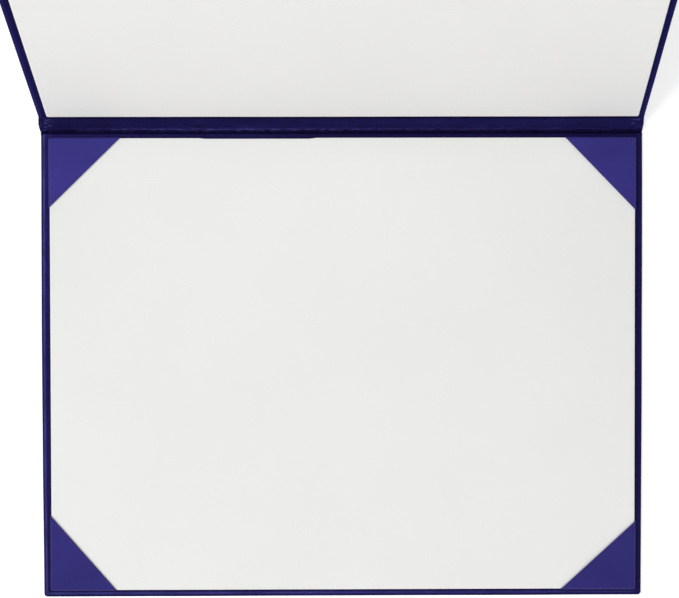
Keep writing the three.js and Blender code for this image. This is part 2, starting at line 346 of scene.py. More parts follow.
class Shader:
    """A material's nodes while they are put together."""

    def __init__(self, name: str, follow: Follow) -> None:
        """Start a material.

        Args:
            name: The material's name.
            follow: Whether its pattern lies on the object or on the unfolded sheet.
        """
        self.material = bpy.data.materials.new(name)
        self.material.use_nodes = True
        self.tree = self.material.node_tree
        self.surface = self.tree.nodes["Principled BSDF"]
        if follow is Follow.SHEET:
            source = self.tree.nodes.new("ShaderNodeAttribute")
            source.attribute_name = SHEET_ATTRIBUTE
            self.place = source.outputs["Vector"]
        else:
            self.place = self.tree.nodes.new("ShaderNodeTexCoord").outputs["Object"]

    def join(self, source: bpy.types.NodeSocket, target: bpy.types.NodeSocket) -> None:
        """Link one socket to another."""
        self.tree.links.new(source, target)

    def cloud(self, size: float, detail: float) -> bpy.types.Node:
        """Add cloudy noise.

        Args:
            size: How large its features are, in metres.
            detail: How many finer layers lie on them.

        Returns:
            The noise's node.
        """
        node = self.tree.nodes.new("ShaderNodeTexNoise")
        node.inputs["Scale"].default_value = 1 / size
        node.inputs["Detail"].default_value = detail
        self.join(self.place, node.inputs["Vector"])
        return node

    def cells(self, size: float, place: bpy.types.NodeSocket) -> bpy.types.Node:
        """Add cells, read as the distance to their edges.

        Args:
            size: How large a cell is, in metres.
            place: The place that they are laid on.

        Returns:
            The cells' node.
        """
        node = self.tree.nodes.new("ShaderNodeTexVoronoi")
        node.feature = "DISTANCE_TO_EDGE"
        node.inputs["Scale"].default_value = 1 / size
        self.join(place, node.inputs["Vector"])
        return node

    def spread(self, source: bpy.types.NodeSocket, given: Stretch, wanted: Stretch) -> bpy.types.NodeSocket:
        """Map a range of values onto another, smoothly at both ends.

        Args:
            source: The socket that gives the values.
            given: The range that is mapped.
            wanted: The range that it becomes.

        Returns:
            The socket that gives the mapped values.
        """
        node = self.tree.nodes.new("ShaderNodeMapRange")
        node.interpolation_type = "SMOOTHSTEP"
        node.inputs["From Min"].default_value = given[0]
        node.inputs["From Max"].default_value = given[1]
        node.inputs["To Min"].default_value = wanted[0]
        node.inputs["To Max"].default_value = wanted[1]
        self.join(source, node.inputs["Value"])
        return node.outputs["Result"]

    def attribute(self, name: str) -> bpy.types.NodeSocket:
        """Read a number that is stored on the mesh.

        Args:
            name: The attribute's name.

        Returns:
            The socket that gives the number.
        """
        node = self.tree.nodes.new("ShaderNodeAttribute")
        node.attribute_name = name
        return node.outputs["Fac"]

    def mix(
        self, share: bpy.types.NodeSocket, first: Colour | bpy.types.NodeSocket, second: Colour
    ) -> bpy.types.NodeSocket:
        """Mix two colours.

        Args:
            share: The second colour's share.
            first: The first colour, or the socket that gives it.
            second: The second colour.

        Returns:
            The socket that gives the mixed colour.
        """
        node = self.tree.nodes.new("ShaderNodeMix")
        node.data_type = "RGBA"
        if isinstance(first, bpy.types.NodeSocket):
            self.join(first, node.inputs[MIX_FIRST])
        else:
            node.inputs[MIX_FIRST].default_value = (*first, 1)
        node.inputs[MIX_SECOND].default_value = (*second, 1)
        self.join(share, node.inputs["Factor"])
        return node.outputs[MIX_RESULT]

    def warp(self, size: float, amount: float) -> bpy.types.NodeSocket:
        """Push the pattern's place about, so that what lies on it isn't regular.

        Args:
            size: How large the pushes' features are, in metres.
            amount: How far the place is pushed at most.

        Returns:
            The socket that gives the pushed place.
        """
        push = self.cloud(size, 2)
        moved = self.tree.nodes.new("ShaderNodeVectorMath")
        moved.operation = "MULTIPLY_ADD"
        moved.inputs[1].default_value = (amount, amount, amount)
        self.join(push.outputs["Color"], moved.inputs[0])
        self.join(self.place, moved.inputs[2])
        return moved.outputs["Vector"]

    def bump(
        self, height: bpy.types.NodeSocket, depth: float, strength: float,
        below: bpy.types.Node | None = None,
    ) -> bpy.types.Node:
        """Add a bump.

        Args:
            height: The socket that gives the height, from 0 to 1.
            depth: The depth in metres that 1 stands for.
            strength: How much of it shows.
            below: The bump that this one lies on, if any.

        Returns:
            The bump's node.
        """
        node = self.tree.nodes.new("ShaderNodeBump")
        node.inputs["Strength"].default_value = strength
        node.inputs["Distance"].default_value = depth
        self.join(height, node.inputs["Height"])
        if below is not None:
            self.join(below.outputs["Normal"], node.inputs["Normal"])
        return node


@dataclass(frozen=True)
class Leatherette:
    """Vinyl leatherette: two close tones, a lighter tone for painted highlights and an embossed grain.

    Its pearl share of the base colour is laid on as a gloss of that colour. A plain gloss would turn
    a steep face grey under white surroundings.
    """

    name: str
    deep: Colour
    bright: Colour
    painted_highlight_colour: Colour
    grain: float
    grain_depth: float
    roughness: float
    gloss: float
    gloss_tint: Colour
    pearl: float
    follow: Follow = Follow.SHEET
    cloud_size: float = 28 * MM
    sheen_size: float = 9 * MM
    sheen_spread: Stretch = (-0.05, 0.05)
    pebble_side: float = 0.28
    pebble_strength: float = 0.55
    pore_strength: float = 0.4

    def material(self) -> bpy.types.Material:
        """Build the leatherette's material.

        Returns:
            The material.
        """
        shader = Shader(self.name, self.follow)
        surface = shader.surface
        clouds = (CLOUD_LOW, CLOUD_HIGH)
        tone = shader.spread(shader.cloud(self.cloud_size, 3).outputs["Fac"], clouds, (0.0, 1.0))
        unhighlighted = shader.mix(tone, self.deep, self.bright)
        # Painted highlight: where the mesh's attribute asks for it, the colour turns towards the lighter
        # tone
        colour = shader.mix(shader.attribute(PAINTED_HIGHLIGHT_ATTRIBUTE), unhighlighted, self.painted_highlight_colour)
        shader.join(colour, surface.inputs["Base Color"])
        sheen = shader.spread(shader.cloud(self.sheen_size, 4).outputs["Fac"], clouds, self.sheen_spread)
        rough = shader.tree.nodes.new("ShaderNodeMath")
        rough.operation = "ADD"
        rough.inputs[1].default_value = self.roughness
        shader.join(sheen, rough.inputs[0])
        shader.join(rough.outputs["Value"], surface.inputs["Roughness"])
        surface.inputs["Specular IOR Level"].default_value = self.gloss
        surface.inputs["Specular Tint"].default_value = (*self.gloss_tint, 1)
        surface.inputs["Metallic"].default_value = self.pearl
        pebbles = shader.cells(self.grain, shader.warp(0.8 * self.grain, 0.5 * self.grain))
        pebble_height = shader.spread(pebbles.outputs["Distance"], (0.0, self.pebble_side), (0.0, 1.0))
        coarse = shader.bump(pebble_height, self.grain_depth, self.pebble_strength)
        pores = shader.cloud(0.22 * self.grain, 3)
        fine = shader.bump(pores.outputs["Fac"], 0.3 * self.grain_depth, self.pore_strength, coarse)
        shader.join(fine.outputs["Normal"], surface.inputs["Normal"])
        return shader.material


@dataclass(frozen=True)
class Paper:
    """White card or paper with a faint tooth."""

    name: str
    white: Colour
    shade: Colour
    tooth: float = 0.02 * MM
    tooth_strength: float = 0.25
    roughness: float = 0.82
    gloss: float = 0.2

    def material(self) -> bpy.types.Material:
        """Build the paper's material.

        Returns:
            The material.
        """
        shader = Shader(self.name, Follow.OBJECT)
        surface = shader.surface
        clouds = (CLOUD_LOW, CLOUD_HIGH)
        tone = shader.spread(shader.cloud(60 * MM, 3).outputs["Fac"], clouds, (0.0, 1.0))
        shader.join(shader.mix(tone, self.shade, self.white), surface.inputs["Base Color"])
        surface.inputs["Roughness"].default_value = self.roughness
        surface.inputs["Specular IOR Level"].default_value = self.gloss
        felt = shader.bump(shader.cloud(0.9 * MM, 4).outputs["Fac"], self.tooth, self.tooth_strength)
        fibre = shader.cloud(0.2 * MM, 3).outputs["Fac"]
        fibres = shader.bump(fibre, 0.5 * self.tooth, self.tooth_strength, felt)
        shader.join(fibres.outputs["Normal"], surface.inputs["Normal"])
        return shader.material


@dataclass(frozen=True)
class Greyboard:
    """Bare grey board with flecks of waste paper."""

    name: str
    grey: Colour
    fleck: Colour
    roughness: float = 0.95
    pulp_depth: float = 0.05 * MM
    pulp_strength: float = 0.4

    def material(self) -> bpy.types.Material:
        """Build the board's material.

        Returns:
            The material.
        """
        shader = Shader(self.name, Follow.OBJECT)
        surface = shader.surface
        flecks = shader.spread(shader.cloud(1.2 * MM, 5).outputs["Fac"], (0.52, 0.68), (0.0, 1.0))
        shader.join(shader.mix(flecks, self.grey, self.fleck), surface.inputs["Base Color"])
        surface.inputs["Roughness"].default_value = self.roughness
        pulp = shader.bump(shader.cloud(0.6 * MM, 4).outputs["Fac"], self.pulp_depth, self.pulp_strength)
        shader.join(pulp.outputs["Normal"], surface.inputs["Normal"])
        return shader.material


WRAP_FINISH = Leatherette(
    name="grained_leatherette",
    deep=(0.0072, 0.0058, 0.039),
    bright=(0.0090, 0.0071, 0.048),
    painted_highlight_colour=(0.050, 0.043, 0.185),
    grain=0.75 * MM,
    # The lighter tone of the painted highlights
    grain_depth=0.09 * MM,
    roughness=0.32,
    gloss=0.03,
    gloss_tint=(0.19, 0.16, 1.0),
    pearl=0.5,
)
FRONT_POCKET_FINISH = Leatherette(
    name="smooth_leatherette",
    deep=(0.0255, 0.021, 0.125),
    bright=(0.0295, 0.0242, 0.144),
    painted_highlight_colour=(0.050, 0.043, 0.185),
    grain=0.5 * MM,
    grain_depth=0.065 * MM,
    roughness=0.36,
    gloss=0.34,
    gloss_tint=(0.2, 0.17, 1.0),
    pearl=0.0,
)
# A lighter copy of the front pockets' leatherette, as painted sheen: the back pockets are painted brighter
# for the light they catch
BACK_POCKET_SHEEN_FINISH = replace(
    FRONT_POCKET_FINISH,
    name="sheen_painted_smooth_leatherette",
    deep=(0.0315, 0.026, 0.157),
    bright=(0.036, 0.0297, 0.18),
)
CARD_FINISH = Paper("white_card", white=(0.845, 0.845, 0.828), shade=(0.832, 0.832, 0.815))
LINER_FINISH = Paper("white_liner", white=(0.84, 0.836, 0.822), shade=(0.826, 0.822, 0.81))
BOARD_FINISH = Greyboard("grey_board", grey=(0.262, 0.235, 0.187), fleck=(0.42, 0.4, 0.35))


# Sizes


@dataclass(frozen=True)
class CoverSizes:
    """The cover's sizes and folds as the frame gives them."""

    half_width: float
    depth: float
    half_spine: float
    wrap: float
    inner_top: float
    base_fold: Vector
    lid_fold: Vector
    spine_turn: float
    lid_turn: float

    @classmethod
    def from_frame(cls, joints: Sequence[dict]) -> "CoverSizes":
        """Read the sizes from the wrap's box and the two folds' joints.

        Args:
            joints: The frame's joints.

        Returns:
            The sizes.
        """
        fold = {joint["name"]: joint for joint in joints}
        base_fold = Vector(fold["spine_fold"]["pos_m"])
        lid_fold = Vector(fold["lid_fold"]["pos_m"])
        low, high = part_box("base_wrap")
        return cls(
            half_width=high.x,
            depth=base_fold.y - low.y,
            half_spine=(lid_fold - base_fold).length / 2,
            wrap=base_fold.z - low.z,
            inner_top=high.z - base_fold.z,
            base_fold=base_fold,
            lid_fold=lid_fold,
            spine_turn=math.radians(-fold["spine_fold"]["range_deg"][0]),
            lid_turn=math.radians(-fold["lid_fold"]["range_deg"][0]),
        )


# Panels


class Half(Enum):
    """Which panel a half of the cover belongs to."""

    BASE = "base"
    LID = "lid"


@dataclass
class PanelHalf:
    """A panel and the half of the spine beside it, in one sheet of leatherette and one of lining.

    Both are drawn flat, with the fold along X, +Y to the panel's free edge and +Z to the inside of
    the cover. The spine's half lies at negative Y, and is then turned up about the fold. In every
    method, x is the place along the fold and y the place away from it on the unfolded sheet.
    """

    half: Half
    sizes: CoverSizes
    place: Matrix
    fold_turn: float
    seed: float
    # The ridge beside the fold: its height and crinkles, its line, and its peak along the spine,
    # which is negative to the cover's left
    ridge: float
    crinkle: float
    ridge_line: float = -1.45 * MM
    ridge_reach: float = 0.66 * MM
    ridge_peak: float = -46 * MM
    crinkle_rise: Stretch = (-3.6 * MM, -2.6 * MM)
    crinkle_fall: Stretch = (-0.3 * MM, 0.5 * MM)
    # The sheet's rim, corners and flaps
    edge_radius: float = 1.0 * MM
    corner_radius: float = 1.6 * MM
    turn_in: float = 15 * MM
    rim_slump: float = 0.38 * MM
    mitre_dip: float = 0.14 * MM
    mitre_crinkle: float = 0.12 * MM
    # The inner surface, from the spine up onto the board, and the bend at the fold
    spine_top: float = 0.6 * MM
    climb_start: float = 0.5 * MM
    climb_end: float = 1.4 * MM
    bend_reach: float = 0.7 * MM
    lining_leg: float = 16.4 * MM
    lining_gap: float = 0.02 * MM
    # The groove pressed into the outside beside the board
    groove_depth: float = 0.16 * MM
    groove_line: float = 1.1 * MM
    groove_wave: float = 0.03 * MM
    # How the outline stands off a true rectangle
    free_edge_taper: float = 0.3 * MM
    left_belly: float = 0.3 * MM
    right_belly: float = 0.13 * MM
    side_wave: float = 0.08 * MM
    front_reach: float = 0.26 * MM
    front_skew: float = 0.1 * MM
    front_wave: float = 0.06 * MM
    # The swollen ends of the spine, by the way from the base's fold to the lid's
    left_bulge: float = 0.95 * MM
    right_bulge: float = 0.5 * MM
    bulge_rise: Stretch = (-2.6 * MM, 2.5 * MM)
    bulge_fall: Stretch = (6.2 * MM, 9.2 * MM)
    end_tuck: float = 0.3 * MM
    # How strong the painted highlights along the rims and along the ridge are
    rim_highlight: float = 1.0
    crease_highlight: float = 0.65

    def inner_height(self, y: float) -> float:
        """Height of the visible inner surface, which climbs from the spine over the board's edge."""
        climb = smooth_step(self.climb_start, self.climb_end, y)
        return self.spine_top + (self.sizes.inner_top - self.spine_top) * climb

    def world_side(self, x: float) -> float:
        """Turn a place across this half into one where the cover's left is negative, or back."""
        return -x if self.half is Half.BASE else x

    def along_ridge(self, x: float, least: float, reach: float) -> float:
        """How strong the ridge is along the fold: 1 at its peak and least far from it."""
        return least + (1 - least) * hump(x, self.world_side(self.ridge_peak), reach)

    def relief(self, x: float, y: float) -> float:
        """Work out the height that the ridge and its crinkles add to the inner surface.

        Args:
            x: The place along the fold.
            y: The place away from it.

        Returns:
            The added height.
        """
        along = self.along_ridge(x, 0.45, 62 * MM)
        lively = 1 + 0.5 * ripple(x / (14 * MM), 0, self.seed)
        ridge = self.ridge * along * lively * hump(y, self.ridge_line, self.ridge_reach)
        fades = plateau(self.crinkle_rise, self.crinkle_fall, y)
        coarse = ripple(x / (2.6 * MM) + y / (1.7 * MM), y / (1.1 * MM), self.seed + 3)
        small = ripple(x / (1.2 * MM) - y / (1.5 * MM), y / (0.7 * MM), self.seed + 7)
        end = smooth_step(0.94, 0.98, abs(x) / self.sizes.half_width)
        tuck = self.end_tuck * end * ripple(x / (1.6 * MM), y / (1.5 * MM), self.seed + 13)
        return ridge + fades * (self.crinkle * along * (coarse + 0.6 * small) + tuck)

    def outer_relief(self, x: float, y: float) -> float:
        """Work out the height that the pressed groove adds to the outer surface.

        Args:
            x: The place along the fold.
            y: The place away from it.

        Returns:
            The added height.
        """
        groove = self.groove_depth * hump(y, self.groove_line, 0.6 * MM)
        wave = self.groove_wave * ripple(x / (5 * MM), y / (2 * MM), self.seed + 11)
        return groove + wave * hump(y, 0, 2 * MM)

    def drift(self, point: Vector) -> Vector:
        """Move a point by the small departures of a hand-made cover.

        Args:
            point: A point of the flat sheet.

        Returns:
            The point with the cover's taper, wavy edges and swollen spine ends.
        """
        across = abs(point.x) / self.sizes.half_width
        side = math.copysign(smooth_step(0.6, 1.0, across), point.x)
        on_left = self.world_side(point.x) < 0
        along = max(0.0, point.y) / self.sizes.depth
        belly = (self.left_belly if on_left else self.right_belly) * math.sin(math.pi * min(1.0, along))
        wave = self.side_wave * ripple(point.y / (38 * MM), side, self.seed + 17)
        out = belly + wave - self.free_edge_taper * along ** 2
        bulge = self.end_bulge(point.y, self.left_bulge if on_left else self.right_bulge)
        out += smooth_step(0.96, 1.0, across) * bulge
        ahead = self.front_reach - self.front_skew * self.world_side(point.x) / self.sizes.half_width
        ahead += self.front_wave * ripple(point.x / (45 * MM), 0, self.seed + 23)
        return point + Vector((side * out, ahead * along ** 4, 0))

    def end_bulge(self, y: float, amount: float) -> float:
        """Work out how far the tucked end of the spine swells.

        Args:
            y: The place away from this half's fold.
            amount: How far it swells at most.

        Returns:
            The swelling.
        """
        way = -y if self.half is Half.BASE else 2 * self.sizes.half_spine + y
        swell = plateau(self.bulge_rise, self.bulge_fall, way)
        return amount * swell * (1 + 0.25 * ripple(way / (1.6 * MM), amount / MM, 5.5))

    def mitre(self, x: float, y: float) -> float:
        """Work out the dip where the two flaps of a free corner meet, with its crinkles.

        Args:
            x: The place along the fold.
            y: The place away from it.

        Returns:
            The added height, which is mostly negative.
        """
        from_front = self.sizes.depth - y
        across = (self.sizes.half_width - abs(x)) - from_front
        near = 1 - smooth_step(2 * MM, 9 * MM, from_front)
        crinkles = self.mitre_crinkle * ripple(x / (0.9 * MM), y / (1.1 * MM), self.seed + 29)
        return (crinkles * near - self.mitre_dip) * hump(across, 0, 0.6 * MM)

    def on_panel(self, y: float) -> float:
        """How far a place belongs to the panel: 0 on the spine and 1 past the climb."""
        return smooth_step(self.climb_start, 2 * self.climb_end, y)

    def slump(self, x: float, y: float) -> float:
        """Work out how far the flap sinks towards the rim, where the sheet lies less tight.

        Args:
            x: The place along the fold.
            y: The place away from it.

        Returns:
            The depth by which it sinks.
        """
        inset = min(self.sizes.half_width - abs(x), self.sizes.depth - y)
        return self.rim_slump * self.on_panel(y) * (1 - smooth_step(0.3 * MM, 2.7 * MM, inset))

    def rim_painted_highlight(self, x: float, y: float) -> float:
        """Work out the painted highlight along the skin's side and front rims, and the painted glints at
        the spine's ends.

        Args:
            x: The place along the fold.
            y: The place away from it.

        Returns:
            The painted highlight, where 1 is the full lighter tone.
        """
        on_left = self.world_side(x) < 0
        on_panel = self.on_panel(y)
        # Painted highlight: the side rims are much lighter on the cover's left than on its right, and the
        # front rim is lighter towards the left, as the light falls from the left and the front
        side_band = hump(self.sizes.half_width - abs(x), 1.5 * MM, 0.42 * MM)
        front_band = hump(self.sizes.depth - y, 1.85 * MM, 0.45 * MM)
        front_share = 0.5 - 1.2 * self.world_side(x)
        rim = max(side_band * (0.75 if on_left else 0.12), front_band * front_share)
        uneven = 0.8 + 0.5 * ripple(x / (9 * MM), y / (7 * MM), self.seed + 37)
        # Painted glints on the tucked, crinkled ends of the spine, stronger at the left end
        tucked = smooth_step(0.95, 0.975, abs(x) / self.sizes.half_width) * (1 - on_panel)
        glint = smooth_step(0.22, 0.5, ripple(x / (1.3 * MM), y / (1.0 * MM), self.seed + 41))
        return on_panel * uneven * rim * self.rim_highlight + tucked * glint * (0.9 if on_left else 0.45)

    def crease_painted_highlight(self, x: float, y: float) -> float:
        """Work out the painted highlight along the ridge beside the fold, strongest a little left of the
        middle.

        Args:
            x: The place along the fold.
            y: The place away from it.

        Returns:
            The painted highlight, where 1 is the full lighter tone.
        """
        specks = ripple(x / (2.2 * MM), y / (0.8 * MM), self.seed + 43)
        band = hump(y, -1.1 * MM, 0.8 * MM) * (0.75 + 1.5 * specks)
        return self.crease_highlight * self.along_ridge(x, 0.28, 55 * MM) * band

    def fold_up(self, bm: BMesh) -> None:
        """Turn the spine's half up about the fold, and lay the piece where it belongs.

        Args:
            bm: The piece, drawn flat.
        """
        for vert in bm.verts:
            share = 1 - smooth_step(-self.bend_reach, self.bend_reach, vert.co.y)
            turn = Matrix.Rotation(-self.fold_turn * share, 3, "X")
            vert.co = self.place @ (turn @ self.drift(vert.co))
        bmesh.ops.recalc_face_normals(bm, faces=bm.faces)

    def bend_with(self, piece: bpy.types.Object) -> None:
        """Bake the piece's place into its mesh, where it stays as it is folded here.

        Args:
            piece: The skin or the lining.
        """
        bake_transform(piece)

    def fit(
        self, bm: BMesh, kind: str, material: bpy.types.Material, nodes: Sequence[str]
    ) -> bpy.types.Object:
        """Fold a flat piece up, make it an object and hide the nodes that it stands for.

        Args:
            bm: The piece, drawn flat.
            kind: What it is, for its name.
            material: Its material.
            nodes: The nodes that it stands for.

        Returns:
            The finished piece.
        """
        self.fold_up(bm)
        piece = finish_mesh(f"{self.half.value}_{kind}", bm, material)
        self.bend_with(piece)
        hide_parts(*nodes)
        return piece

    def skin_mesh(self) -> BMesh:
        """Build the outer sheet: its flat outside, its rolled edges and its turned-in flaps.

        Returns:
            The sheet, drawn flat.
        """
        sizes = self.sizes
        side = sizes.half_width - self.edge_radius
        front = sizes.depth - self.edge_radius
        stations = graded(-sizes.half_spine, 3.4 * MM, front, fine=0.28 * MM, coarse=5 * MM)
        bm = sweep([Vector((-side, y, -sizes.wrap)) for y in stations], 2 * side, 240)
        corners = [v for v in bm.verts if v.co.y > front - TOUCH and abs(v.co.x) > side - TOUCH]
        inner_corner = self.corner_radius - self.edge_radius
        round_off(bm, Rounded.CORNERS, corners, inner_corner, 5)
        low = Vector((-side, -ENDLESS, 0))
        high = Vector((side, front, 0))
        insets = [inset * MM for inset in (1.25, 1.6, 2.0, 2.4, 2.9, 3.6, 4.6, 6, 8, 10, 12)]
        insets.append(self.turn_in)
        top = sizes.inner_top
        panel_rows = rolled_edge(self.edge_radius, -sizes.wrap, top, insets)
        spine_rows = rolled_edge((self.spine_top + sizes.wrap) / 2, -sizes.wrap, self.spine_top, insets)

        def place(start: Vector, row: int) -> Vector:
            """Place a row between the spine's thin edge and the panel's thick one."""
            share = (self.inner_height(start.y) - self.spine_top) / (top - self.spine_top)
            out = spine_rows[row][0] * (1 - share) + panel_rows[row][0] * share
            up = spine_rows[row][1] * (1 - share) + panel_rows[row][1] * share
            moved = outset(start, out + self.edge_radius, low, high, inner_corner)
            return Vector((moved.x, moved.y, up))

        rim = [
            edge for edge in bm.edges
            if edge.is_boundary and any(v.co.y > TOUCH - sizes.half_spine for v in edge.verts)
        ]
        roll_rim(bm, rim, len(panel_rows), place)
        self.press(bm)
        thicken(bm, sizes.wrap)
        remember_places(bm)
        return bm

    def press(self, bm: BMesh) -> None:
        """Give the outer sheet its reliefs, outside and inside, before it gets its thickness.

        Args:
            bm: The sheet with its rolled edges and flaps.
        """
        outside_top = 0.3 * MM - self.sizes.wrap
        flap_edge = self.sizes.half_width - 0.8 * MM
        for vert in bm.verts:
            x, y, z = vert.co
            if z < outside_top:
                vert.co.z += self.outer_relief(x, y)
            elif abs(x) < flap_edge:
                vert.co.z += self.relief(x, y) + self.mitre(x, y)
            if z > self.spine_top - 0.1 * MM:
                vert.co.z -= self.slump(x, y)

    def skin(self, material: bpy.types.Material, *nodes: str) -> bpy.types.Object:
        """Make the outer sheet.

        Args:
            material: Its material.
            nodes: The nodes that it stands for.

        Returns:
            The finished piece.
        """
        bm = self.skin_mesh()
        # Painted highlights along the rims and painted glints at the spine's ends
        set_painted_highlight(bm, self.rim_painted_highlight)
        return self.fit(bm, "skin", material, nodes)

    def lining(self, material: bpy.types.Material, columns: int, *nodes: str) -> bpy.types.Object:
        """Make the strip that lines the spine and climbs the board.

        Args:
            material: Its material.
            columns: How many quads lie along the fold, which its crinkles need.
            nodes: The nodes that it stands for.

        Returns:
            The finished piece.
        """
        half_length = self.sizes.half_width - self.turn_in - self.lining_gap
        stations = graded(
            -self.sizes.half_spine, 3.6 * MM, self.lining_leg, fine=0.22 * MM, coarse=3 * MM
        )
        chain = [Vector((-half_length, y, self.inner_height(y))) for y in stations]
        bm = sweep(chain, 2 * half_length, columns)
        for vert in bm.verts:
            vert.co.z += self.relief(vert.co.x, vert.co.y)
        thicken(bm, self.sizes.wrap)
        remember_places(bm)
        # Painted highlight along the ridge beside the fold
        set_painted_highlight(bm, self.crease_painted_highlight)
        return self.fit(bm, "lining", material, nodes)


# Papers


@dataclass(frozen=True)
class CardOutline:
    """How the card's outline stands off a true rectangle, in the base's own frame.

    In that frame +X is the cover's left, where the back edge dips in between two small steps.
    """

    half_width: float = 139 * MM
    dip_rise: Stretch = (12 * MM, 16 * MM)
    dip_fall: Stretch = (66 * MM, 68 * MM)
    dip: float = 0.32 * MM
    past_dip: float = 0.02 * MM
    before_dip: float = -0.1 * MM
    front: float = 0.18 * MM
    front_slope: float = 0.06 / 140
    left_hollow: float = -0.1 * MM
    right_hollow: float = -0.25 * MM

    def drift(self, at: Vector) -> Vector:
        """Work out the shift of a point of the outline.

        Args:
            at: The place across the card in metres, and the share of the way to its front edge.

        Returns:
            The shift in metres.
        """
        dip = plateau(self.dip_rise, self.dip_fall, at.x)
        past = smooth_step(*self.dip_fall, at.x)
        back = self.dip * dip + self.past_dip * past + self.before_dip * (1 - dip) * (1 - past)
        front = self.front + self.front_slope * at.x
        side = math.copysign(smooth_step(0.9, 1.0, abs(at.x) / self.half_width), at.x)
        hollow = self.right_hollow if at.x < 0 else self.left_hollow
        return Vector((side * hollow * math.sin(math.pi * at.y), back * (1 - at.y) + front * at.y, 0))


@dataclass(frozen=True)
class LinerOutline:
    """How the liner's outline stands off a true rectangle, in the lid's own frame."""

    foot_wave: float = 0.12 * MM
    foot_lift: float = 0.09 * MM
    right_flare: float = 0.55 * MM

    def drift(self, at: Vector) -> Vector:
        """Work out the shift of a point of the outline.

        Args:
            at: The place across the liner in metres, and the share of the way to the lid's free edge.

        Returns:
            The shift in metres.
        """
        foot = self.foot_wave * ripple(at.x / (30 * MM), 0, 31.5)
        foot += self.foot_lift * smooth_step(0, 30 * MM, at.x)
        right = self.right_flare * smooth_step(120 * MM, 139 * MM, at.x)
        return Vector((right * (1 - at.y), foot * (1 - at.y), 0))


@dataclass
class PaperSheet:
    """The white card or liner: a thin plate with softened rims and an edge that isn't quite straight."""

    name: str
    node: str
    thickness: float
    place: Matrix
    body: str
    drift: Callable[[Vector], Vector]
    corner_radius: float = 0.8 * MM
    rim_radius: float = 0.1 * MM
    rim_angle: float = 1.2

    def is_rim(self, edge: BMEdge) -> bool:
        """Whether an edge runs round the plate's upper or lower face."""
        level = abs(edge.verts[0].co.z - edge.verts[1].co.z) < TOUCH
        return edge.is_manifold and abs(edge.calc_face_angle()) > self.rim_angle and level

    def make(
        self, width: float, depth: float, low: Vector, material: bpy.types.Material
    ) -> bpy.types.Object:
        """Make the sheet.

        Args:
            width: Its size along the spine.
            depth: Its size away from the spine.
            low: The middle of its near edge's underside, in the panel's own frame.
            material: Its material.

        Returns:
            The finished piece.
        """
        bm = sweep([Vector((-width / 2, 0, 0)), Vector((-width / 2, depth, 0))], width, 180)
        corners = [v for v in bm.verts if abs(v.co.x) > width / 2 - TOUCH]
        round_off(bm, Rounded.CORNERS, corners, self.corner_radius, 4)
        for vert in bm.verts:
            vert.co += self.drift(Vector((vert.co.x, vert.co.y / depth, 0)))
        made = bmesh.ops.extrude_face_region(bm, geom=list(bm.faces))["geom"]
        top = [item for item in made if isinstance(item, BMVert)]
        bmesh.ops.translate(bm, vec=(0, 0, self.thickness), verts=top)
        bmesh.ops.recalc_face_normals(bm, faces=bm.faces)
        rims = [edge for edge in bm.edges if self.is_rim(edge)]
        round_off(bm, Rounded.EDGES, rims, self.rim_radius, 2)
        bmesh.ops.translate(bm, vec=low, verts=bm.verts)
        bm.transform(self.place)
        bmesh.ops.recalc_face_normals(bm, faces=bm.faces)
        piece = finish_mesh(self.name, bm, material)
        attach(piece, self.body)
        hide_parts(self.node)
        return piece


# Pockets


# How much each pocket's two legs differ from its node's, along X and along Y
POCKET_TRIMS = {
    "pocket_front_left": (-0.3 * MM, 0.0),
    "pocket_front_right": (-0.35 * MM, -0.5 * MM),
    "pocket_back_left": (0.0, -0.5 * MM),
    "pocket_back_right": (0.4 * MM, 0.1 * MM),
}


